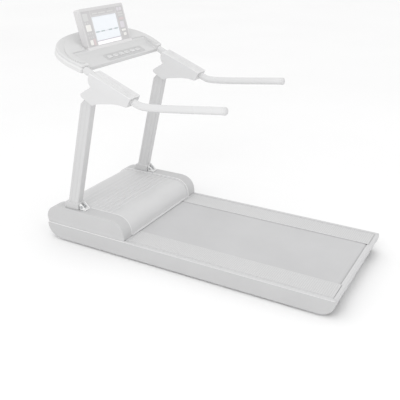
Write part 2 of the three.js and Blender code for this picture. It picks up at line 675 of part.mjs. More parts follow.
const HEAD_HALF = 207.5;
const HEAD_HEIGHT = 228;
const HEAD_DEPTH = 45;
{
  const thick = 40;
  const split = 10;
  const trayDepth = 8; // of the tray's floor below the rear lower edge
  const outline = [
    ...arc([-388, 16], 16, 16, 180, 270, 4),
    ...arc([388, 16], 16, 16, 270, 360, 4),
    ...arc([0, 85], 416, 235, 0, 180, 24, 2.6),
  ];
  const within = inset(outline, SHEET);
  const ledgeHalf = 345;
  const ledge = (drop) => [
    [-5, 14 - drop],
    [70, 20 - drop],
    [105, 38 - drop],
    [112, 41],
    [112, 60],
    [-5, 60],
  ];
  const inTray = railPath.map((point) => tray.worldToLocal(point.clone()));
  const railCut = swept(inTray, RAIL_RADIUS + 0.7);
  const railCutLeft = swept(inTray.map((p) => new THREE.Vector3(-p.x, p.y, p.z)), RAIL_RADIUS + 0.7);

  const lower = prismZ(outline, -trayDepth, split)
    .subtract(prismZ(within, SHEET - trayDepth, split + 1))
    .subtract(railCut)
    .subtract(railCutLeft);
  add("console_tray", geometryOf(lower), consolePlastic, tray);

  const pocket = prismZ(within, 0, thick - SHEET)
    .subtract(prismX(ledge(SHEET - 0.5), -ledgeHalf - SHEET, ledgeHalf + SHEET));
  const toTray = new THREE.Matrix4().copy(tray.matrixWorld).invert().multiply(display.matrixWorld);
  const headSeat = new THREE.BoxGeometry(2 * HEAD_HALF + 1, HEAD_DEPTH + 1, 60)
    .translate(0, HEAD_DEPTH / 2, 29.5)
    .applyMatrix4(toTray);
  let upper = prismZ(outline, split + GAP, thick, 2)
    .subtract(prismX(ledge(0), -ledgeHalf, ledgeHalf))
    .subtract(pocket)
    .subtract(railCut)
    .subtract(railCutLeft)
    .subtract(solid(headSeat));

  // Six oval buttons in a row along the ledge, right of the middle.
  const buttonPitch = 57;
  const oval = (x, s, grow) => [
    ...arc([x + 10, s], 12 + grow, 12 + grow, -90, 90, 6),
    ...arc([x - 10, s], 12 + grow, 12 + grow, 90, 270, 6),
  ];
  for (let i = 0; i < 6; i++) {
    const x = -97 + buttonPitch * i;
    upper = upper.subtract(prismZ(oval(x, 42, 0.6), 0, thick));
    add(`button_${i + 1}`, geometryOf(prismZ(oval(x, 42, 0), 7, 20.5)), keyPlastic, tray);
  }
  add("console_deck", geometryOf(upper), consolePlastic, tray);
}

// ---------------------------------------------------------------- display head, in its own tilted frame
// Local X is across, Y back through the head and Z up its face, from the face's lower edge.
{
  const corner = 12;
  const face = (inward) => [
    ...arc([HEAD_HALF - corner, corner], corner - inward, corner - inward, -90, 0, 4),
    ...arc([HEAD_HALF - corner, HEAD_HEIGHT - corner], corner - inward, corner - inward, 0, 90, 4),
    ...arc([corner - HEAD_HALF, HEAD_HEIGHT - corner], corner - inward, corner - inward, 90, 180, 4),
    ...arc([corner - HEAD_HALF, corner], corner - inward, corner - inward, 180, 270, 4),
  ];
  const fascia = 6;
  const housing = prismY(face(0), fascia, HEAD_DEPTH).subtract(prismY(face(3), fascia - 1, HEAD_DEPTH - 3));
  add("display_housing", geometryOf(housing), bezelPlastic, display);

  const [left, right, low, high] = [-113, 121, 6, 173];
  const bezel = prismY(face(0), 0, fascia - GAP).subtract(block(left, right, -1, fascia + 1, low, high));
  add("display_bezel", geometryOf(bezel), bezelPlastic, display);
  add(
    "lcd_screen",
    geometryOf(block(left + 0.4, right - 0.4, 2, 10, low + 0.4, high - 0.4)),
    screenGlass,
    display,
  );
}

export default treadmill;
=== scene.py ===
import math

import bpy
from mathutils import Matrix, Vector


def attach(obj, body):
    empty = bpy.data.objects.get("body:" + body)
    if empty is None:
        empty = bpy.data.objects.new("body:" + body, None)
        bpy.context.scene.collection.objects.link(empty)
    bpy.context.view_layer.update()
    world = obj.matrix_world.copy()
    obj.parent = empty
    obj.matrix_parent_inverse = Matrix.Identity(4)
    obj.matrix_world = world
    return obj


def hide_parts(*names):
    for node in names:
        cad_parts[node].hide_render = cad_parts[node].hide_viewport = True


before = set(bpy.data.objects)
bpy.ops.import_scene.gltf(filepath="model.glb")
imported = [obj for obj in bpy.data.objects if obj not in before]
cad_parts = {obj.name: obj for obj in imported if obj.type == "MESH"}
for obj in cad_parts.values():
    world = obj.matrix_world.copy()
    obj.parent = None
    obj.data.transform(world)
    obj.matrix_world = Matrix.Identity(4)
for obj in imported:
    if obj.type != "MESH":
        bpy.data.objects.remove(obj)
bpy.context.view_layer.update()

# ------------------------------------------------------------------ steel frame
# Two rolled-steel rails with welded crossmembers carry everything. They are powder
# coated grey, and stand on the lift wheels in front and two rubber feet behind.
MM = 0.001


def alone(piece):
    if bpy.context.mode != "OBJECT":
        bpy.ops.object.mode_set(mode="OBJECT")
    bpy.ops.object.select_all(action="DESELECT")
    piece.select_set(True)
    bpy.context.view_layer.objects.active = piece
    return piece


def apply(piece, kind, **settings):
    """Adds a modifier to a piece, sets it and applies it."""
    alone(piece)
    modifier = piece.modifiers.new(kind.lower(), kind)
    for name, value in settings.items():
        setattr(modifier, name, value)
    bpy.ops.object.modifier_apply(modifier=modifier.name)
    return piece


def eased(piece, width, segments=2, angle=36):
    """Rounds every edge that is sharper than an angle. The width is in millimetres."""
    return apply(
        piece,
        "BEVEL",
        width=width * MM,
        segments=segments,
        limit_method="ANGLE",
        angle_limit=math.radians(angle),
        miter_outer="MITER_ARC",
    )


def welded(name, node):
    """A copy of a CAD node with its triangles merged back into whole faces."""
    piece = bpy.data.objects.new(name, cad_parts[node].data.copy())
    bpy.context.scene.collection.objects.link(piece)
    alone(piece)
    bpy.ops.mesh.customdata_custom_splitnormals_clear()
    bpy.ops.object.mode_set(mode="EDIT")
    bpy.ops.mesh.select_all(action="SELECT")
    bpy.ops.mesh.remove_doubles(threshold=2e-5)
    bpy.ops.mesh.dissolve_limited(angle_limit=math.radians(1))
    bpy.ops.object.mode_set(mode="OBJECT")
    return piece


def finish(name, tone, roughness, grain, depth, metallic=0.0, cloud=0.03, patch=7.0, edge=0.0):
    """A surface whose tone drifts in soft patches, with a fine grain in relief and a painted highlight that
    makes sharp convex edges paler.
    Grain and patch are noise scales per metre, and depth is the relief in millimetres."""
    material = bpy.data.materials.new(name)
    material.use_nodes = True
    nodes, links = material.node_tree.nodes, material.node_tree.links
    shader = nodes["Principled BSDF"]
    shader.inputs["Metallic"].default_value = metallic
    place = nodes.new("ShaderNodeTexCoord")
    drift = nodes.new("ShaderNodeTexNoise")
    drift.inputs["Scale"].default_value = patch
    drift.inputs["Detail"].default_value = 5.0
    links.new(place.outputs["Object"], drift.inputs["Vector"])
    shades = nodes.new("ShaderNodeValToRGB")
    low, high = shades.color_ramp.elements
    low.position, high.position = 0.3, 0.7
    low.color = (*[c * (1 - cloud) for c in tone], 1)
    high.color = (*[min(1, c * (1 + cloud)) for c in tone], 1)
    links.new(drift.outputs["Fac"], shades.inputs["Fac"])
    colour = shades.outputs["Color"]
    # Painted highlight: convex edges, found by pointiness, are mixed towards a paler tone.
    if edge:
        shape = nodes.new("ShaderNodeNewGeometry")
        edge_highlight_mask = nodes.new("ShaderNodeMapRange")
        edge_highlight_mask.inputs["From Min"].default_value = 0.52
        edge_highlight_mask.inputs["From Max"].default_value = 0.62
        edge_highlight_mask.inputs["To Max"].default_value = edge
        links.new(shape.outputs["Pointiness"], edge_highlight_mask.inputs["Value"])
        paler = nodes.new("ShaderNodeMix")
        paler.data_type = "RGBA"
        paler.inputs[7].default_value = (*[min(1, c * 1.3 + 0.04) for c in tone], 1)
        links.new(edge_highlight_mask.outputs["Result"], paler.inputs[0])
        links.new(colour, paler.inputs[6])
        colour = paler.outputs[2]
    links.new(colour, shader.inputs["Base Color"])
    sheen = nodes.new("ShaderNodeMapRange")
    sheen.inputs["To Min"].default_value = roughness - 0.07
    sheen.inputs["To Max"].default_value = roughness + 0.07
    links.new(drift.outputs["Fac"], sheen.inputs["Value"])
    links.new(sheen.outputs["Result"], shader.inputs["Roughness"])
    fine = nodes.new("ShaderNodeTexNoise")
    fine.inputs["Scale"].default_value = grain
    fine.inputs["Detail"].default_value = 3.0
    links.new(place.outputs["Object"], fine.inputs["Vector"])
    relief = nodes.new("ShaderNodeBump")
    relief.inputs["Distance"].default_value = depth * MM
    relief.inputs["Strength"].default_value = 0.6
    links.new(fine.outputs["Fac"], relief.inputs["Height"])
    links.new(relief.outputs["Normal"], shader.inputs["Normal"])
    return material


def dress(piece, material, body, slot, *nodes):
    """Gives a finished mesh its shading, finish and body, and hides the CAD nodes it stands for."""
    piece.data.materials.clear()
    piece.data.materials.append(material)
    alone(piece)
    bpy.ops.object.shade_smooth_by_angle(angle=math.radians(33))
    apply(piece, "WEIGHTED_NORMAL", keep_sharp=True)
    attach(piece, body)
    if nodes:
        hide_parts(*nodes)
    return piece


frame_paint = finish("grey_powder_coat", (0.27, 0.27, 0.28), 0.48, 900, 0.12, 0.1, 0.06, edge=0.3)
for node in (
    "side_frame_left",
    "side_frame_right",
    "front_crossmember",
    "middle_crossmember",
    "rear_crossmember",
    "motor_pan",
):
    dress(eased(welded(f"{node}_steel", node), 1.2), frame_paint, "base", "frame_paint", node)

foot_rubber = finish("black_foot_rubber", (0.045, 0.045, 0.05), 0.75, 1500, 0.2, 0.0, 0.15)
for side in ("left", "right"):
    node = f"rear_foot_{side}"
    dress(eased(welded(f"{node}_rubber", node), 1.5, 3), foot_rubber, "base", "wheel_rubber", node)

# ------------------------------------------------------------------ running deck
# A pressed fibre board, waxed on top so that the belt slides over it, is screwed down
# between the rails.
waxed_board = finish("waxed_fibre_board", (0.16, 0.095, 0.055), 0.35, 350, 0.15, 0.0, 0.25, 30.0)
dress(eased(welded("deck_board_waxed", "deck_board"), 2), waxed_board, "base", "deck_board", "deck_board")

# ------------------------------------------------------------------ rollers and their axles
# Turned steel tubes with plugs run on fixed axles. The front one has the pulley for the
# motor's ribbed belt at its left end.
turned_steel = finish("turned_steel", (0.48, 0.49, 0.5), 0.3, 1200, 0.06, 0.95, 0.08, 20.0)
for node, body in (
    ("front_roller", "front_roller"),
    ("rear_roller", "rear_roller"),
    ("roller_pulley", "front_roller"),
    ("front_axle", "base"),
    ("rear_axle", "base"),
):
    dress(eased(welded(f"{node}_turned", node), 0.8), turned_steel, body, "machined_steel", node)

# ------------------------------------------------------------------ running belt
# A two-ply woven belt with a grained top face is stretched round the rollers. Its ends
# are joined by a slanting seam, and its edges are sealed.
BELT_HALF = 254
ROLLER_Z = 77
ROLLER_REAR = -900
ROLLER_FRONT = 425
BELT_OUTER = 33.2  # radius of the belt's outer face round a roller

bpy.ops.object.select_all(action="DESELECT")
bpy.ops.mesh.primitive_circle_add(
    vertices=64,
    radius=BELT_OUTER * MM,
    location=(-BELT_HALF * MM, 0, ROLLER_Z * MM),
    rotation=(math.radians(90), 0, math.radians(90)),
)
belt = bpy.context.active_object
belt.name = "running_belt_woven"
bpy.ops.object.transform_apply(location=True, rotation=True, scale=True)
for vertex in belt.data.vertices:
    vertex.co.y += (ROLLER_FRONT if vertex.co.y > 0 else ROLLER_REAR) * MM
bpy.ops.object.mode_set(mode="EDIT")
bpy.ops.mesh.select_all(action="SELECT")
for width in (6, 2 * BELT_HALF - 12, 6):  # a sealed border runs along each edge
    bpy.ops.mesh.extrude_region_move(TRANSFORM_OT_translate={"value": (width * MM, 0, 0)})
bpy.ops.mesh.select_all(action="SELECT")
bpy.ops.mesh.normals_make_consistent(inside=False)
bpy.ops.object.mode_set(mode="OBJECT")
apply(belt, "SOLIDIFY", thickness=2.8 * MM, offset=-1)
eased(belt, 0.6, 2, 60)

belt_weave = finish("grained_belt", (0.575, 0.575, 0.58), 0.78, 420, 0.25, 0.0, 0.035, 3.0)
nodes, links = belt_weave.node_tree.nodes, belt_weave.node_tree.links
place = nodes["Texture Coordinate"]
weave = nodes.new("ShaderNodeTexVoronoi")
weave.inputs["Scale"].default_value = 260.0
weave.inputs["Randomness"].default_value = 0.35
links.new(place.outputs["Object"], weave.inputs["Vector"])
lattice = nodes.new("ShaderNodeBump")
lattice.inputs["Distance"].default_value = 0.3 * MM
lattice.inputs["Strength"].default_value = 0.5
links.new(weave.outputs["Distance"], lattice.inputs["Height"])
links.new(nodes["Bump"].outputs["Normal"], lattice.inputs["Normal"])
links.new(lattice.outputs["Normal"], nodes["Principled BSDF"].inputs["Normal"])
dress(belt, belt_weave, "base", "belt_rubber", "walking_belt")

# ------------------------------------------------------------------ side panels
# Each long side is a moulded tray of fine-grained plastic, rounded at both lower corners
# and clipped to the frame. Its rolled upper rim carries on under the hood's end cap.
shell_plastic = finish("pale_shell_plastic", (0.55, 0.55, 0.553), 0.5, 1300, 0.12, 0.0, 0.02, 5.0, edge=0.8)
for side in ("left", "right"):
    node = f"side_panel_{side}"
    panel = welded(f"{node}_moulded", node)
    for vertex in panel.data.vertices:  # the face lies a little inside the trim
        vertex.co.x = max(-419.2 * MM, min(419.2 * MM, vertex.co.x))
    dress(eased(panel, 0.9), shell_plastic, "base", "shell_plastic", node)


# ------------------------------------------------------------------ foot rails
# The walker stands on these strips to get on and off. They are extruded plastic with
# close ribs across them for grip, a groove outside the ribs and a rounded outer bead.
RAIL_INNER = 257
RAIL_REAR = -929
HOOD_REAR = 355  # where the motor hood begins
RAIL_FRONT = HOOD_REAR - 6
RAIL_TOP = 115
RIB_PITCH = 12
RIBS_FROM, RIBS_TO = 262, 387  # across the rail


def bar(name, outline, start, end, axis="X"):
    """A straight moulding: its section is a filled ring of points, drawn out along an axis. Millimetres."""
    if bpy.context.mode != "OBJECT":
        bpy.ops.object.mode_set(mode="OBJECT")
    bpy.ops.object.select_all(action="DESELECT")
    bpy.ops.mesh.primitive_circle_add(vertices=len(outline), fill_type="NGON")
    piece = bpy.context.active_object
    piece.name = name
    for vertex, (u, v) in zip(piece.data.vertices, outline):
        vertex.co = {"X": (start, u, v), "Y": (u, start, v), "Z": (u, v, start)}[axis]
        vertex.co *= MM
    run = [(end - start) * MM if letter == axis else 0 for letter in "XYZ"]
    bpy.ops.object.mode_set(mode="EDIT")
    bpy.ops.mesh.select_all(action="SELECT")
    bpy.ops.mesh.extrude_region_move(TRANSFORM_OT_translate={"value": run})
    bpy.ops.mesh.select_all(action="SELECT")
    bpy.ops.mesh.normals_make_consistent(inside=False)
    bpy.ops.object.mode_set(mode="OBJECT")
    return piece


def joined(piece, *others):
    alone(piece)
    for other in others:
        other.select_set(True)
    bpy.ops.object.join()
    return piece


def mirrored(piece, name):
    """The same piece for the other side, with a mesh of its own."""
    twin = piece.copy()
    twin.data = piece.data.copy()
    twin.name = name
    bpy.context.scene.collection.objects.link(twin)
    twin.data.transform(Matrix.Scale(-1, 4, (1, 0, 0)))
    twin.data.flip_normals()
    return twin


def dress_both(piece, material, slot, node=None):
    """Dresses a piece of the right side, and its mirrored copy for the left."""
    twin = mirrored(piece, piece.name.replace("right", "left"))
    for side, part in (("right", piece), ("left", twin)):
        dress(part, material, "base", slot, *([f"{node}_{side}"] if node else []))


def rounded_box(u0, u1, v0, v1, radius, steps=4):
    """The outline of a rectangle with round corners."""
    outline = []
    for cu, cv, start in (
        (u1 - radius, v0 + radius, -90),
        (u1 - radius, v1 - radius, 0),
        (u0 + radius, v1 - radius, 90),
        (u0 + radius, v0 + radius, 180),
    ):
        for i in range(steps + 1):
            turn = math.radians(start + 90 * i / steps)
            outline.append((cu + radius * math.cos(turn), cv + radius * math.sin(turn)))
    return outline


rib_plastic = finish("ribbed_strip_plastic", (0.6, 0.6, 0.602), 0.55, 1500, 0.1, 0.0, 0.02, 4.0, edge=0.35)
strip = bar(
    "foot_rail_strip",
    [(RAIL_INNER, 107.6), (395.6, 107.6), (395.6, 105.9), (413, 105.9), (413, 108.5), (399.2, 108.5),
     (399.2, 111.8), (393.4, 111.8), (392.6, 114.6), (391, RAIL_TOP), (388, RAIL_TOP), (RIBS_TO, 113.9),
     (RIBS_FROM, 113.9), (261, RAIL_TOP), (258.6, RAIL_TOP), (252.9, 113.2), (252.3, 112.4),
     (252.3, 111.3), (RAIL_INNER, 111.3)],
    RAIL_REAR,
    RAIL_FRONT,
    "Y",
)
eased(strip, 0.5)
rib = bar(
    "foot_rail_rib",
    [(-2.8, RAIL_TOP - 1.5), (2.8, RAIL_TOP - 1.5), (1.5, RAIL_TOP), (-1.5, RAIL_TOP)],
    RIBS_FROM,
    RIBS_TO,
)
rib.data.transform(Matrix.Translation((0, (RAIL_REAR + 9) * MM, 0)))
apply(
    rib,
    "ARRAY",
    count=int((RAIL_FRONT - RAIL_REAR - 14) / RIB_PITCH),
    use_relative_offset=False,
    use_constant_offset=True,
    constant_offset_displace=(0, RIB_PITCH * MM, 0),
)
eased(rib, 0.5, 1, 30)
strip = joined(strip, rib)
strip.name = "foot_rail_right_ribbed"
dress_both(strip, rib_plastic, "shell_plastic", "foot_rail")

# A paler trim is pressed along the top of each side panel, and closes the seam under the hood's end cap; its
# paler tone is a painted highlight, the bright line along this edge. Beside the foot rail lies a rounded bead
# of the shell's own plastic.
# Painted highlight: this pale tone also colours the hood beads, the post rims and the head borders.
highlight_trim_plastic = finish("pale_trim_painted_highlight", (0.74, 0.74, 0.743), 0.38, 1300, 0.06, 0.0, 0.015, 5.0, edge=0.3)
SIDE = 420  # from the middle to the outside
TRIM_REAR, TRIM_FRONT = -947, 941
trim = bar("side_trim_right", rounded_box(SIDE - 9, SIDE, 106.8, 113.2, 2.2, 3), TRIM_REAR, TRIM_FRONT, "Y")
dress_both(eased(trim, 0.8, 2, 60), highlight_trim_plastic, "shell_plastic")
bead = bar(
    "side_bead_right", rounded_box(SIDE - 19.4, SIDE, 107.4, 114.8, 3.4, 4), TRIM_REAR, HOOD_REAR - 1, "Y"
)
dress_both(eased(bead, 0.8, 2, 60), shell_plastic, "shell_plastic")

# ------------------------------------------------------------------ rear guard
# A moulded strip closes the gap behind the belt, screwed to the back of the frame. Its
# thin lip reaches over the belt where that turns down round the roller.
guard_plastic = finish("pale_guard_plastic", (0.6, 0.6, 0.603), 0.5, 1300, 0.12, 0.0, 0.02, 5.0, edge=0.5)
guard = eased(welded("rear_guard_moulded", "rear_guard"), 0.7)
guard_lip = bar("rear_guard_lip", rounded_box(-944, -922, 107.4, 110.6, 1.5, 3), -253, 253)
dress(joined(guard, guard_lip), guard_plastic, "base", "dark_plastic", "rear_guard")

# ------------------------------------------------------------------ drive
# A brushed motor with a heavy flywheel turns the front roller through a ribbed belt. It
# sits in a cradle on a pressed pan, beside the finned controller.
motor_paint = finish("motor_enamel", (0.05, 0.053, 0.058), 0.35, 700, 0.1, 0.3, 0.1)
cast_alloy = finish("cast_heat_sink", (0.3, 0.3, 0.31), 0.5, 800, 0.2, 0.7, 0.1)
belt_rubber = finish("black_drive_belt", (0.03, 0.03, 0.032), 0.7, 1500, 0.15, 0.0, 0.15)
for name, node, ease, segments, material, body, slot in (
    ("drive_motor_can", "drive_motor", 3, 3, motor_paint, "base", "motor_paint"),
    ("motor_flywheel_turned", "motor_flywheel", 1, 2, turned_steel, "flywheel", "machined_steel"),
    ("drive_belt_ribbed", "drive_belt", 0.5, 1, belt_rubber, "base", "dark_plastic"),
    ("motor_controller_finned", "motor_controller", 0.8, 2, cast_alloy, "base", "dark_plastic"),
):
    dress(eased(welded(name, node), ease, segments), material, body, slot, node)

# ------------------------------------------------------------------ incline lift
# A welded frame on two rubber wheels swings down from a pivot to raise the front. A
# geared motor turns a screw that pulls the frame's horn through a threaded tube.
for name, node, ease, material, body, slot in (
    ("lift_frame_welded", "lift_frame", 0.8, frame_paint, "lift_frame", "frame_paint"),
    ("lift_tube_turned", "lift_tube", 0.8, turned_steel, "lift_tube", "machined_steel"),
    ("lift_screw_turned", "lift_screw", 0.8, turned_steel, "lift_screw", "machined_steel"),
    ("lift_motor_geared", "lift_motor", 1.5, motor_paint, "base", "motor_paint"),
):
    dress(eased(welded(name, node), ease), material, body, slot, node)
for side in ("left", "right"):
    node = f"lift_wheel_{side}"
    dress(eased(welded(f"{node}_rubber", node), 2.5, 3), foot_rubber, node, "wheel_rubber", node)


# ------------------------------------------------------------------ motor hood
# A moulded cover with ribs across its top hides the drive. It sits a little below the
# two end caps, falls steeply to a thin lip over the belt, and wraps round the front.
HOOD_HALF = 329.7
HOOD_FOOT = 118  # Z of the cover's lower edge
CAP_FOOT = 113.4  # Z of the end caps' lower edge, on the side panels
CAP_INNER = 334
RIB_FIRST, RIB_COUNT, RIB_SPACING = 508, 9, 36
RIB_FLOOR = 227


def arc(centre, ru, rv, start, end, steps, power=2):
    """An elliptic stretch of outline. A power above 2 squares its shoulder."""
    points = []
    for i in range(steps + 1):
        turn = math.radians(start + (end - start) * i / steps)
        c, s = math.cos(turn), math.sin(turn)
        points.append(
            (
                centre[0] + ru * math.copysign(abs(c) ** (2 / power), c),
                centre[1] + rv * math.copysign(abs(s) ** (2 / power), s),
            )
        )
    return points


def hood_side(inward, base, middle=()):
    """The hood seen from the side: an overhanging nose, a flat top and a steep haunch."""
    nose = arc((845, 147), 105 - inward, 88 - inward, -18, 90, 12)
    return [
        (nose[0][0] - 4, base),
        *nose,
        *middle,
        *arc((470, 125), 115 - inward, 110 - inward, 90, 180, 14, 2.4),
        (HOOD_REAR + inward, base),
    ]


ribs = []
for i in reversed(range(RIB_COUNT)):
    y, crest = RIB_FIRST + RIB_SPACING * i, RIB_FLOOR + 5.2 - 0.46 * i  # lower towards the front
    ribs += [(y + 17, RIB_FLOOR), (y + 12, crest), (y + 6, crest), (y, RIB_FLOOR)]
cover = bar(
    "hood_cover_ribbed",
    hood_side(8, HOOD_FOOT, ribs) + hood_side(12, HOOD_FOOT)[::-1],
    -HOOD_HALF,
    HOOD_HALF,
)
eased(cover, 0.8, 2, 24)
lip = bar("hood_lip", rounded_box(HOOD_REAR - 4, HOOD_REAR + 12, 116.4, 120, 1.6, 2), -HOOD_HALF, HOOD_HALF)
wiper = bar(
    "hood_wiper", rounded_box(HOOD_REAR - 1, HOOD_REAR + 3, 111.6, 117, 0.8, 1), -BELT_HALF, BELT_HALF
)
skirt = bar(
    "hood_skirt",
    arc((850, 99), 94, 83, 318, 360, 10)
    + [(944, 112.4), (940, 112.4)]
    + arc((850, 99), 90, 79, 360, 318, 10),
    -399.2,
    399.2,
)
eased(skirt, 0.8, 2, 40)
link = bar("hood_link", rounded_box(928.5, 943.5, 110, 120.6, 1.2, 2), -HOOD_HALF, HOOD_HALF)
for part in (cover, skirt, link):  # an opening at the front for the power inlet
    bpy.ops.object.select_all(action="DESELECT")
    bpy.ops.mesh.primitive_cube_add(size=1, location=(-0.25975, 0.931, 0.11825), scale=(0.0745, 0.06, 0.0255))
    hole = bpy.context.active_object
    apply(part, "BOOLEAN", operation="DIFFERENCE", solver="EXACT", object=hole)
    bpy.data.objects.remove(hole, do_unlink=True)
hood_plastic = finish("ribbed_hood_plastic", (0.62, 0.62, 0.623), 0.45, 1300, 0.12, 0.0, 0.02, 4.0, edge=0.5)
dress(joined(cover, lip, wiper, skirt, link), hood_plastic, "base", "hood_plastic", "hood_cover")

# A flange of the cover closes the gap before each foot rail.
flange = bar(
    "hood_flange_right",
    rounded_box(HOOD_REAR - 5.6, HOOD_REAR + 22, 108.2, CAP_FOOT - 0.2, 1, 2),
    RAIL_INNER,
    399,
)
dress_both(flange, shell_plastic, "shell_plastic")

# The end caps are thicker mouldings that stand proud of the cover and lie on the side
# panels, each with a raised bead along its inner edge. A post comes through each one.
cap = bar("hood_cap_right_moulded", hood_side(0.6, CAP_FOOT), CAP_INNER, SIDE - 0.4)
dress_both(eased(cap, 5, 4, 50), shell_plastic, "shell_plastic", "hood_cap")
# The bead takes the trim's paler tone: a painted highlight along the cap's inner edge.
bead = bar(
    "hood_bead_right",
    hood_side(0, HOOD_FOOT) + hood_side(11, HOOD_FOOT)[::-1],
    CAP_INNER - 4,
    CAP_INNER + 3.5,
)
dress_both(eased(bead, 2.2, 3, 50), highlight_trim_plastic, "shell_plastic")

# ------------------------------------------------------------------ posts
# Each post is an aluminium extrusion with rounded corners and two shallow grooves down
# each flank, leaning back over the belt. Its top is cut off at a slope.
POST_CENTRE = 371
POST_HALF = 25
POST_DEPTH = 76
POST_LEAN = 0.249
POST_FOOT = 46
POST_REACH = 1030
CUT_HEIGHT = 1017  # where the sloping cut meets the rear face
COLLAR_TOP = 276
CAP_TOP = 235.3


def post_y(z):
    """Y of the post's rear face at a height."""
    return 708 - POST_LEAN * (z - COLLAR_TOP)


def grooved(outline, x, side, at):
    """Adds a shallow groove to a flank of an outline."""
    floor = x - 1.3 * side
    return outline + [
        (x, at - side * 3.2),
        (floor, at - side * 1.7),
        (floor, at + side * 1.7),
        (x, at + side * 3.2),
    ]


corners = rounded_box(POST_CENTRE - POST_HALF, POST_CENTRE + POST_HALF, 0, POST_DEPTH, 6, 4)
section = corners[0:5]
for at in (27, 56):
    section = grooved(section, POST_CENTRE + POST_HALF, 1, at)
section += corners[5:15]
for at in (56, 27):
    section = grooved(section, POST_CENTRE - POST_HALF, -1, at)
section += corners[15:20]
post = bar("post_right_extruded", section, POST_FOOT, POST_REACH, "Z")
for vertex in post.data.vertices:
    vertex.co.y += post_y(vertex.co.z / MM) * MM
alone(post)
bpy.ops.object.mode_set(mode="EDIT")
bpy.ops.mesh.select_all(action="SELECT")
bpy.ops.mesh.bisect(
    plane_co=(0, post_y(CUT_HEIGHT) * MM, CUT_HEIGHT * MM),
    plane_no=(0, 43, 86.7),
    clear_outer=True,
    use_fill=True,
)
bpy.ops.object.mode_set(mode="OBJECT")
eased(post, 0.9, 2, 36)
post_paint = finish("post_powder_coat", (0.6, 0.6, 0.603), 0.42, 1100, 0.1, 0.05, 0.018, 3.0, edge=0.3)
dress_both(post, post_paint, "post_paint", "post")

# A moulded collar hides the joint where the post enters the cap. Behind it a clevis of
# two sloping cheeks holds the post with one cross bolt and a nut.
collar = bar(
    "post_foot_right_moulded",
    [(812, CAP_TOP), (810, 244), (800, 270), (795, COLLAR_TOP), (701, COLLAR_TOP), (700.5, 270), (703, 244),
     (703, CAP_TOP)],
    POST_CENTRE - 32,
    POST_CENTRE + 32,
)
dress_both(eased(collar, 2.5, 3, 30), shell_plastic, "post_paint", "post_foot")
# A rim in the trim's paler tone rings the post at the collar's top: a painted highlight line where post and
# collar meet.
rim = bar(
    "post_foot_rim",
    rounded_box(POST_CENTRE - POST_HALF - 4, POST_CENTRE + POST_HALF + 4, 0, POST_DEPTH + 6, 7, 4),
    COLLAR_TOP - 4.5,
    COLLAR_TOP + 1,
    "Z",
)
for vertex in rim.data.vertices:
    vertex.co.y += (post_y(vertex.co.z / MM) - 3) * MM
eased(rim, 1.5, 3, 50)
rim_left = mirrored(rim, "post_foot_rim_left")
dress(rim, highlight_trim_plastic, "base", "post_paint")
dress(rim_left, highlight_trim_plastic, "base", "post_paint")

rail_paint = finish("gloss_white_tube_paint", (0.69, 0.69, 0.693), 0.26, 600, 0.05, 0.0, 0.012, 3.0, edge=0.1)
rail_paint.node_tree.nodes["Principled BSDF"].inputs["Coat Weight"].default_value = 0.4
rail_paint.node_tree.nodes["Principled BSDF"].inputs["Coat Roughness"].default_value = 0.12
CLEVIS_HALF = 21  # half the width over its cheeks
GAP_HALF = 16  # half the length of the shank between them
cheek = [(654, CAP_TOP), (700, CAP_TOP), (700, 274), (690, 276), (654, 243)]
base_plate = bar(
    "clevis_base",
    rounded_box(656, 700, CAP_TOP, CAP_TOP + 4, 1, 1),
    POST_CENTRE - GAP_HALF,
    POST_CENTRE + GAP_HALF,
)
bracket = joined(
    eased(bar("cheek_inner", cheek, POST_CENTRE - CLEVIS_HALF, POST_CENTRE - 15.5), 1.2, 3, 30),
    eased(bar("cheek_outer", cheek, POST_CENTRE + 15.5, POST_CENTRE + CLEVIS_HALF), 1.2, 3, 30),
    eased(base_plate, 0.5, 1, 50),
)
bracket.name = "post_bracket_right_pressed"
bracket_paint = finish("white_bracket_paint", (0.85, 0.85, 0.853), 0.35, 900, 0.06, 0.0, 0.02, 9.0, edge=0.4)
dress_both(bracket, bracket_paint, "rail_paint", "post_bracket")

BOLT_AT = (684, 255)
shank = bar(
    "clevis_shank", arc(BOLT_AT, 5.5, 5.5, 0, 345, 23), POST_CENTRE - GAP_HALF, POST_CENTRE + GAP_HALF
)
hexagon = arc(BOLT_AT, 9, 9, 0, 300, 5)
head = bar("clevis_head", hexagon, POST_CENTRE + CLEVIS_HALF, POST_CENTRE + CLEVIS_HALF + 4.8)
nut = bar("clevis_nut", hexagon, POST_CENTRE - CLEVIS_HALF - 4.8, POST_CENTRE - CLEVIS_HALF)
bolt = joined(shank, eased(head, 0.9, 2, 40), eased(nut, 0.9, 2, 40))
bolt.name = "clevis_bolt_right"
dress_both(bolt, turned_steel, "machined_steel")

# ------------------------------------------------------------------ handrails
# A painted steel tube is bent down from the console, through the post's head and back
# along the walker's side. A pale grey domed plug closes its free end.
TUBE_RADIUS = 21
rail_run = (  # Y and Z, from the console to the free end
    (618, 1128), (583, 1110), (532, 1084), (450, 1045), (265, 966), (230, 953), (176, 950), (-284, 994)
)
rail_path = [Vector((POST_CENTRE, y, z)) * MM for y, z in rail_run]


def bend(points, steps):
    """Points along a smooth tube bend through the given ones."""
    path = [2 * points[0] - points[1], *points, 2 * points[-1] - points[-2]]
    result = []
    for a, b, c, d in zip(path, path[1:], path[2:], path[3:]):
        t = [0.0]
        for p, q in ((a, b), (b, c), (c, d)):
            t.append(t[-1] + (q - p).length ** 0.5)
        for k in range(steps):
            u = t[1] + (t[2] - t[1]) * k / steps
            ab = a.lerp(b, (u - t[0]) / (t[1] - t[0]))
            bc = b.lerp(c, (u - t[1]) / (t[2] - t[1]))
            cd = c.lerp(d, (u - t[2]) / (t[3] - t[2]))
            abc = ab.lerp(bc, (u - t[0]) / (t[2] - t[0]))
            bcd = bc.lerp(cd, (u - t[1]) / (t[3] - t[1]))
            result.append(abc.lerp(bcd, (u - t[1]) / (t[2] - t[1])))
    return [*result, points[-1]]


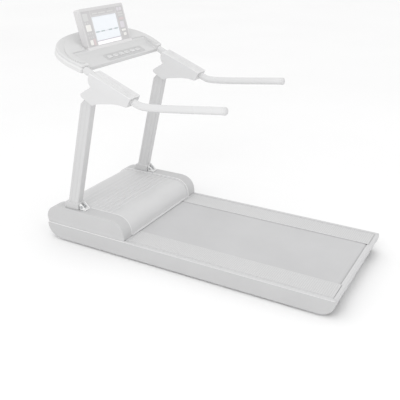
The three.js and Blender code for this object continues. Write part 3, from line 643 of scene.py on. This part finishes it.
def tube(name, points, radius):
    """A round bar along points, 32 sides round."""
    curve = bpy.data.curves.new(name, "CURVE")
    curve.dimensions = "3D"
    curve.bevel_depth = radius * MM
    curve.bevel_resolution = 14
    curve.use_fill_caps = True
    spline = curve.splines.new("POLY")
    spline.points.add(len(points) - 1)
    for knot, point in zip(spline.points, points):
        knot.co = (*point, 1)
    piece = bpy.data.objects.new(name, curve)
    bpy.context.scene.collection.objects.link(piece)
    alone(piece)
    bpy.ops.object.convert(target="MESH")
    piece = bpy.context.active_object
    bpy.ops.object.mode_set(mode="EDIT")
    bpy.ops.mesh.select_all(action="SELECT")
    bpy.ops.mesh.remove_doubles(threshold=1e-5)
    bpy.ops.mesh.normals_make_consistent(inside=False)
    bpy.ops.object.mode_set(mode="OBJECT")
    return piece


handrail = tube("handrail_right_bent", bend(rail_path, 8), TUBE_RADIUS)
dress_both(handrail, rail_paint, "rail_paint", "handrail")


def stacked(name, profile, sides=40):
    """A turned piece standing on Z: rings of (radius, height) drawn up one from another. Millimetres."""
    if bpy.context.mode != "OBJECT":
        bpy.ops.object.mode_set(mode="OBJECT")
    bpy.ops.object.select_all(action="DESELECT")
    radius, height = profile[0]
    bpy.ops.mesh.primitive_circle_add(
        vertices=sides, radius=radius * MM, location=(0, 0, height * MM), fill_type="NGON"
    )
    piece = bpy.context.active_object
    piece.name = name
    bpy.ops.object.transform_apply(location=True)
    bpy.ops.object.mode_set(mode="EDIT")
    bpy.ops.mesh.select_all(action="SELECT")
    for new_radius, new_height in profile[1:]:
        rise = (0, 0, (new_height - height) * MM)
        bpy.ops.mesh.extrude_region_move(TRANSFORM_OT_translate={"value": rise})
        scale = new_radius / radius
        bpy.ops.transform.resize(value=(scale, scale, 1), center_override=(0, 0, new_height * MM))
        radius, height = new_radius, new_height
    bpy.ops.mesh.select_all(action="SELECT")
    bpy.ops.mesh.normals_make_consistent(inside=False)
    bpy.ops.object.mode_set(mode="OBJECT")
    return piece


plug = stacked(
    "handrail_cap_right_domed",
    [(17.5, -18), (17.5, 0.3), (20.6, 0.3), (21.8, 1.2), (21.8, 7.6), (20.9, 8.2), (20.9, 9.2), (21.8, 9.8),
     (21.4, 12), (20, 15), (17, 18), (12, 20.2), (6, 21.3), (2, 21.5)],
)
aim = (rail_path[-1] - rail_path[-2]).to_track_quat("Z", "X").to_matrix().to_4x4()
plug.data.transform(Matrix.Translation(rail_path[-1]) @ aim)
cap_plastic = finish("grey_plug_plastic", (0.66, 0.66, 0.663), 0.4, 1200, 0.1, 0.0, 0.02, 6.0, edge=0.6)
dress_both(plug, cap_plastic, "dark_plastic", "handrail_cap")


# ------------------------------------------------------------------ post heads
# A hollow moulded box joins each post to its handrail and holds the pad where the
# walker's hand rests. It is moulded in two halves, with a raised border along the top.
HEAD_INNER = 317
HEAD_OUTER = 413
SLOPE_REAR = (260, 996)  # Y and Z of the rear end of its top edge
SLOPE = 111 / 272  # of its top edge
TILT = math.atan(SLOPE)


def filleted(points, radius, steps=4):
    """An outline with each corner rounded off, as far as its edges allow."""
    result = []
    for before, corner, after in zip(points[-1:] + points[:-1], points, points[1:] + points[:1]):
        p, q, r = Vector(before), Vector(corner), Vector(after)
        reach = min(radius, 0.45 * (p - q).length, 0.45 * (r - q).length)
        a, b = q + (p - q).normalized() * reach, q + (r - q).normalized() * reach
        for i in range(steps + 1):
            t = i / steps
            result.append(tuple(a * (1 - t) ** 2 + q * 2 * t * (1 - t) + b * t * t))
    return result


head_outline = [
    SLOPE_REAR, (532, 1107), (538, 1094), (544, 1064), (539, 1043), (527, 1030), (574, 1002), (606, 982),
    (602, 964), (526, 922), (495, 936), (454, 942), (383, 951), (332, 950), (288, 942),
]
head_box = bar("gusset_right_moulded", filleted(head_outline, 7, 3), HEAD_INNER, HEAD_OUTER)
eased(head_box, 2.6, 3, 50)


def top_edge(y, lift):
    """Y and Z of a point a little above or below the top edge."""
    return (y, SLOPE_REAR[1] + SLOPE * (y - SLOPE_REAR[0]) + lift)


def carve(piece, cutter):
    apply(piece, "BOOLEAN", operation="DIFFERENCE", solver="EXACT", object=cutter)
    bpy.data.objects.remove(cutter, do_unlink=True)
    return piece


pad_bed = bar(
    "pad_bed",
    [top_edge(261.5, -3), top_edge(525, -3), top_edge(525, 30), top_edge(261.5, 30)],
    HEAD_INNER + 5.6,
    HEAD_OUTER - 5.6,
)
carve(head_box, pad_bed)
rear_pocket = bar(
    "rear_pocket",
    [(245, 987), (262, 987), (269, 985), (269, 958), (266, 951), (262, 947), (245, 947)],
    HEAD_INNER + 6,
    HEAD_OUTER - 6,
)
carve(head_box, eased(rear_pocket, 3, 2, 50))
carve(head_box, tube("tube_cutter", bend(rail_path, 6), TUBE_RADIUS + 0.8))


def border_line(x, y):
    """A point on the middle of the border's round bead."""
    return Vector((x, *top_edge(y, -1.4))) * MM


# The border's round beads take the trim's paler tone: a painted highlight along the top edges.
ALONG = (262, 350, 440, 529)
border = joined(
    tube("border_outer", [border_line(HEAD_OUTER - 2.9, y) for y in ALONG], 2.8),
    tube("border_inner", [border_line(HEAD_INNER + 2.9, y) for y in ALONG], 2.8),
    tube("border_rear", [border_line(x, 262.6) for x in (HEAD_INNER + 3, HEAD_OUTER - 3)], 2.6),
)
border.name = "gusset_border_right"
head_paint = finish("post_head_plastic", (0.66, 0.66, 0.663), 0.42, 1300, 0.08, 0.0, 0.015, 4.0, edge=0.6)
dress_both(head_box, head_paint, "post_paint", "gusset")
dress_both(border, highlight_trim_plastic, "post_paint")

# The pad is soft moulded rubber with three rows of raised blocks. It is pressed into
# the bed on top of the box.
PAD_LENGTH = 259 / math.cos(TILT)
PAD_WIDTH = 83
bpy.ops.object.select_all(action="DESELECT")
bpy.ops.mesh.primitive_grid_add(
    x_subdivisions=3, y_subdivisions=26, size=1, location=(0, PAD_LENGTH / 2 * MM, 0)
)
pad = bpy.context.active_object
pad.name = "grip_pad_right_blocked"
pad.scale = (PAD_WIDTH * MM, PAD_LENGTH * MM, 1)
bpy.ops.object.transform_apply(location=True, rotation=True, scale=True)
bpy.ops.object.mode_set(mode="EDIT")
bpy.ops.mesh.select_all(action="SELECT")
bpy.ops.mesh.inset(thickness=1.5 * MM, depth=0, use_individual=True)
bpy.ops.mesh.inset(thickness=0.5 * MM, depth=2 * MM, use_individual=True)
bpy.ops.object.mode_set(mode="OBJECT")
apply(pad, "SOLIDIFY", thickness=3.6 * MM, offset=-1)
bed = Vector(((HEAD_INNER + HEAD_OUTER) / 2, *top_edge(264, 0))) * MM
lie = Matrix.Translation(bed) @ Matrix.Rotation(TILT, 4, "X")
pad.data.transform(lie @ Matrix.Translation((0, 0, 0.7 * MM)))
pad_rubber = finish("pale_grip_rubber", (0.77, 0.77, 0.772), 0.7, 1600, 0.15, 0.0, 0.03, 12.0)
dress_both(pad, pad_rubber, "grip_rubber", "grip_pad")

# ------------------------------------------------------------------ console tray
# The console is two mouldings screwed together across the handrails: a shallow tray
# below, and a thick deck above with a raised wing at each end.
tray_frame = Matrix.Translation((0, 0.595, 1.104)) @ Matrix.Rotation(math.radians(22.3), 4, "X")
tray_outline = [
    *arc((-388, 16), 16, 16, 180, 270, 5),
    *arc((388, 16), 16, 16, 270, 360, 5),
    *arc((0, 85), 416, 235, 0, 180, 48, 2.6),
]
console_plastic = finish("console_plastic", (0.66, 0.66, 0.66), 0.45, 1300, 0.1, 0.0, 0.02, 4.0, edge=0.6)
tray = eased(welded("console_tray_moulded", "console_tray"), 1.5)
dress(tray, console_plastic, "base", "console_plastic", "console_tray")


def scaled(outline, across, along, centre=150):
    """An outline scaled in its two directions, about a point on the middle line."""
    return [(x * across, centre + (s - centre) * along) for x, s in outline]


# The deck has a fine groove round its edge, a sloping ledge in front of the display, and
# a shallow trough whose floor is a printed film with a hole for each button.
LEDGE_HALF = 345
BUTTONS = 6
BUTTON_FIRST, BUTTON_PITCH = -97, 57
console = bar("console_deck_moulded", tray_outline, 0, 40, "Z")
eased(console, 7, 4, 50)
carve(console, bar("below", [(-430, -10), (430, -10), (430, 340), (-430, 340)], -5, 10.4, "Z"))
groove = bar("groove_ring", scaled(tray_outline, 1.04, 1.06), 25, 28, "Z")
carve(groove, bar("groove_core", scaled(tray_outline, 0.9955, 0.991), 20, 33, "Z"))
carve(console, groove)
ledge_cut = bar(
    "ledge_cut",
    [(-8, 14), (70, 20), (98, 31), (105, 38), (112, 41), (112, 60), (-8, 60)],
    -LEDGE_HALF,
    LEDGE_HALF,
)
eased(ledge_cut, 5, 3, 40)
carve(console, ledge_cut)
ledge_slope = Matrix.Translation((0, 0, 14.6 * MM)) @ Matrix.Rotation(math.atan(6 / 75), 4, "X")
trough = bar("trough_cut", rounded_box(-141, 241, 10, 70, 14, 6), -1.4, 30, "Z")
trough.data.transform(ledge_slope)
carve(console, trough)
film = bar("button_surround_film", rounded_box(-139, 239, 12, 68, 12, 6), -1.3, -0.8, "Z")
film.data.transform(ledge_slope)
carve(console, bar("hollow_cut", scaled(tray_outline, 0.985, 0.975, 160), 5, 12.5, "Z"))
for i in range(BUTTONS):
    x = BUTTON_FIRST + BUTTON_PITCH * i
    for part in (film, console):
        carve(part, bar("button_hole", rounded_box(x - 22.6, x + 22.6, 29.4, 54.6, 12.5, 6), 0, 30, "Z"))
console.data.transform(tray_frame)
display_frame = Matrix.Translation((0, 0.6905, 1.1936)) @ Matrix.Rotation(math.radians(-14.4), 4, "X")
seat = bar("seat_cut", [(-0.5, -1), (45.5, -1), (45.5, 60), (-0.5, 60)], -208, 208)
seat.data.transform(display_frame)
carve(console, seat)
left_path = [Vector((-p.x, p.y, p.z)) for p in rail_path]
for path in (rail_path, left_path):
    carve(console, tube("tube_cutter", bend(path, 6), TUBE_RADIUS + 0.9))
dress(console, console_plastic, "base", "console_plastic", "console_deck")
film.data.transform(tray_frame)
surround = finish("surround_film", (0.56, 0.56, 0.56), 0.4, 1500, 0.04, 0.0, 0.02, 8.0)
dress(film, surround, "base", "console_plastic")

# Each end of the deck has a low raised wing panel with a rolled edge, which covers the
# clamp that holds the console on its handrail.
wing_corners = [
    (352, 14), (384, 24), (400, 62), (396, 108), (372, 158), (330, 204), (276, 240), (226, 258), (222, 236),
    (222, 128), (352, 124),
]
wing = bar("console_wing_right", filleted(wing_corners, 16, 4), 38.6, 45, "Z")
eased(wing, 3, 4, 50)
wing.data.transform(tray_frame)
dress_both(wing, console_plastic, "console_plastic")

# ------------------------------------------------------------------ console buttons
# Six oval caps with dished tops move in guides in the deck, above a row of micro
# switches.
key_plastic = finish("satin_key_plastic", (0.72, 0.72, 0.72), 0.35, 1500, 0.05, 0.0, 0.015, 20.0, edge=0.5)
for i in range(BUTTONS):
    x = BUTTON_FIRST + BUTTON_PITCH * i
    key = bar(f"button_{i + 1}_cap", rounded_box(x - 21.9, x + 21.9, 30.1, 53.9, 11.9, 8), 7, 20.4, "Z")
    eased(key, 1.6, 3, 60)
    alone(key)
    for face in key.data.polygons:
        face.select = face.normal.z > 0.9 and face.center.z > 20 * MM
    bpy.context.tool_settings.mesh_select_mode = (False, False, True)
    bpy.ops.object.mode_set(mode="EDIT")
    bpy.ops.mesh.inset(thickness=2.2 * MM, depth=-0.5 * MM)
    bpy.ops.object.mode_set(mode="OBJECT")
    bpy.context.tool_settings.mesh_select_mode = (True, False, False)
    key.data.transform(tray_frame)
    dress(key, key_plastic, f"button_{i + 1}", "key_plastic", f"button_{i + 1}")

# ------------------------------------------------------------------ display
# The display stands in a slot in the deck, leaning back. Its housing is a moulded box
# with vents behind, and the face is a thin plate with sunken columns for the keys.
DISPLAY_HALF = 207.5
DISPLAY_HEIGHT = 228
display_outline = rounded_box(-DISPLAY_HALF, DISPLAY_HALF, 0, DISPLAY_HEIGHT, 12, 6)
housing = bar("display_housing_moulded", display_outline, 6.2, 45, "Y")
eased(housing, 5, 4, 50)
bezel_plastic = finish("display_plastic", (0.65, 0.643, 0.646), 0.42, 1300, 0.08, 0.0, 0.02, 6.0, edge=0.6)
VENT_LOWEST, VENT_COUNT, VENT_PITCH = 60, 9, 13
for i in range(VENT_COUNT):
    z = VENT_LOWEST + VENT_PITCH * i
    carve(housing, bar("vent", rounded_box(-90, 90, z, z + 5, 2.4, 3), 42.5, 47, "Y"))
housing.data.transform(display_frame)
dress(housing, bezel_plastic, "base", "bezel_plastic", "display_housing")

face_plate = bar("display_bezel_face", display_outline, 0, 5.8, "Y")
carve(face_plate, bar("window", rounded_box(-113, 121, 6, 173, 2, 2), -1, 7, "Y"))
for u0, u1, v0, v1 in ((-196, -120, 7, 211), (127, 197, 7, 211), (-116, 123, 180, 211)):
    carve(face_plate, bar("column", rounded_box(u0, u1, v0, v1, 6, 3), -1, 0.9, "Y"))
eased(face_plate, 0.7, 2, 50)
face_plate.data.transform(display_frame)
dress(face_plate, bezel_plastic, "base", "bezel_plastic", "display_bezel")

# A soft seal closes the slot round the foot of the display.
seal = joined(
    bar("display_seal", rounded_box(-5, -0.2, -16, 4, 2, 3), -212, 212),
    bar("display_seal_end_left", rounded_box(0.2, 46, -16, 5, 2, 3), -212, -199),
    bar("display_seal_end_right", rounded_box(0.2, 46, -16, 5, 2, 3), 199, 212),
)
seal.data.transform(display_frame)
dress(seal, bezel_plastic, "base", "bezel_plastic")

# The columns carry a thin printed film, a shade darker than the face.
column_film = finish("column_film", (0.595, 0.585, 0.59), 0.3, 1500, 0.03, 0.0, 0.03, 14.0)
for name, u0, u1, v0, v1 in (
    ("column_film_left", -195, -121, 8, 210),
    ("column_film_right", 128, 196, 8, 210),
    ("header_film", -115, 122, 181, 210),
):
    sheet = bar(name, rounded_box(u0, u1, v0, v1, 5, 3), 0.7, 1.2, "Y")
    sheet.data.transform(display_frame)
    dress(sheet, column_film, "base", "bezel_plastic")


def enamel(name, tone):
    return finish(name, tone, 0.32, 1500, 0.04, 0.0, 0.02, 25.0, edge=0.3)


pale_key = enamel("pale_key", (0.66, 0.66, 0.655))
cream_key = enamel("cream_key", (0.86, 0.85, 0.82))
rose_key = enamel("rose_key", (0.66, 0.58, 0.585))
lilac_key = enamel("lilac_key", (0.7, 0.675, 0.71))
DOTS = ((-178, 143), (-158, 143), (-176, 82), (-158, 82), (-140, 82), (-176, 60), (-158, 60), (-140, 60))
KEYS = (
    ("key_square_grey", pale_key, -166, 176, 44, 42, 4),
    ("key_square_cream", cream_key, -160, 114, 44, 38, 4),
    ("key_white", cream_key, -163, 30, 26, 30, 4),
    ("key_rose", rose_key, -136, 30, 20, 38, 4),
    ("key_lilac_left", lilac_key, 148, 194, 22, 20, 5),
    ("key_lilac_right", lilac_key, 175, 194, 22, 20, 5),
    ("key_label_1", pale_key, 163, 170, 46, 10, 3),
    ("key_label_2", pale_key, 163, 156, 46, 8, 3),
    ("key_blush", rose_key, 163, 134, 46, 14, 4),
    ("key_square_blush", lilac_key, 159, 98, 40, 38, 5),
    ("key_white_bar", cream_key, 161, 64, 42, 12, 4),
    ("key_yellow", cream_key, 165, 38, 28, 18, 5),
    *[(f"dot_{i + 1}", pale_key, u, v, 9, 9, 4.4) for i, (u, v) in enumerate(DOTS)],
    ("header_mark_1", pale_key, -78, 190, 46, 8, 2),
    ("header_mark_2", pale_key, -10, 190, 62, 8, 2),
    ("header_mark_3", pale_key, 70, 190, 58, 8, 2),
)
for name, material, u, v, wide, high, radius in KEYS:
    outline = rounded_box(u - wide / 2, u + wide / 2, v - high / 2, v + high / 2, radius, 4)
    key = bar(name, outline, 0.1, 1.3, "Y")
    eased(key, 0.35, 2, 60)
    key.data.transform(display_frame)
    dress(key, material, "base", "key_plastic")

# ------------------------------------------------------------------ liquid-crystal panel
# The panel sits behind the face, lit from behind a pale blue. It shows a row of short
# dark bars on a thin line, a rule below them and a paler band along the bottom.


def lit(material, colour):
    """Makes a finish glow a little in a colour."""
    shader = material.node_tree.nodes["Principled BSDF"]
    shader.inputs["Emission Color"].default_value = (*colour, 1)
    shader.inputs["Emission Strength"].default_value = 0.08
    return material


glow = lit(finish("lit_panel", (0.825, 0.85, 0.88), 0.2, 900, 0.01, 0.0, 0.01, 18.0), (0.86, 0.93, 1.0))
panel = bar("lcd_panel_lit", rounded_box(-112.5, 120.5, 6.5, 172.5, 1.5, 2), 2.2, 10, "Y")
panel.data.transform(display_frame)
dress(panel, glow, "base", "screen", "lcd_screen")
segment = enamel("panel_segment", (0.5, 0.58, 0.58))
rule = enamel("panel_rule", (0.52, 0.5, 0.55))
band = lit(enamel("panel_band", (0.95, 0.93, 0.94)), (1.0, 0.98, 0.98))
BARS = (-86, -36, 34, 92)
MARKS = (
    ("lcd_rule", rule, -112, 120, 27.5, 32.5),
    ("lcd_line", rule, -108, 116, 81.6, 83.6),
    ("lcd_band", band, -112, 120, 7, 27.5),
    *[(f"lcd_bar_{i + 1}", segment, x - 16, x + 16, 79, 87) for i, x in enumerate(BARS)],
)
for name, material, u0, u1, v0, v1 in MARKS:
    mark = bar(name, rounded_box(u0, u1, v0, v1, 0.8, 2), 1.9, 2.5, "Y")
    mark.data.transform(display_frame)
    dress(mark, material, "base", "screen")

# ------------------------------------------------------------------ power inlet
# A mains socket with three flat pins shares a moulded flange with the rocker switch, low
# on the front of the hood.
dark_plastic = finish("dark_inlet_plastic", (0.06, 0.06, 0.065), 0.55, 1100, 0.15, 0.0, 0.1, edge=0.2)
inlet = eased(welded("power_inlet_moulded", "power_inlet"), 0.6)
dress(inlet, dark_plastic, "base", "dark_plastic", "power_inlet")
for i, (x, z) in enumerate(((-284, 115.5), (-270, 115.5), (-277, 121.5))):
    pin = bar(f"inlet_pin_{i + 1}", rounded_box(x - 2, x + 2, z - 1, z + 1, 0.5, 2), 925, 941, "Y")
    dress(eased(pin, 0.4, 1), turned_steel, "base", "machined_steel")
rocker = eased(welded("power_rocker_moulded", "power_switch"), 0.6)
dress(rocker, foot_rubber, "power_rocker", "wheel_rubber", "power_switch")

# ------------------------------------------------------------------ floor, light and camera
# A white studio floor and sky, and one broad soft box high on the walker's left.
bpy.ops.object.select_all(action="DESELECT")
bpy.ops.mesh.primitive_plane_add(size=60)
floor = bpy.context.active_object
floor.name = "studio_floor"
floor.data.materials.append(finish("white_floor", (0.96, 0.96, 0.96), 0.9, 40, 0.05, 0.0, 0.01, 0.5))

world = bpy.data.worlds.new("studio")
bpy.context.scene.world = world
world.use_nodes = True
world.node_tree.nodes["Background"].inputs["Color"].default_value = (1, 1, 1, 1)
world.node_tree.nodes["Background"].inputs["Strength"].default_value = 1.0


def soft_box(name, place, aim_at, size, power):
    lamp = bpy.data.lights.new(name, "AREA")
    lamp.shape = "RECTANGLE"
    lamp.size, lamp.size_y = size
    lamp.energy = power
    rig = bpy.data.objects.new(name, lamp)
    bpy.context.scene.collection.objects.link(rig)
    rig.location = place
    rig.rotation_mode = "QUATERNION"
    rig.rotation_quaternion = (Vector(aim_at) - Vector(place)).to_track_quat("-Z", "Y")


soft_box("key_box", (-4.4, -0.6, 4.0), (0, 0, 0.5), (2.6, 2.6), 48)

camera = bpy.data.objects.new("camera", bpy.data.cameras.new("camera"))
bpy.context.scene.collection.objects.link(camera)
camera.data.sensor_width = 36
camera.data.lens = 55.04
camera.data.shift_x, camera.data.shift_y = -0.0295, -0.0684
camera.location = (-2.997, -1.657, 1.843)
camera.rotation_mode = "QUATERNION"
camera.rotation_quaternion = Vector((0.8145, 0.4469, -0.3702)).to_track_quat("-Z", "Y")
bpy.context.scene.camera = camera
bpy.context.scene.view_settings.view_transform = "Standard"
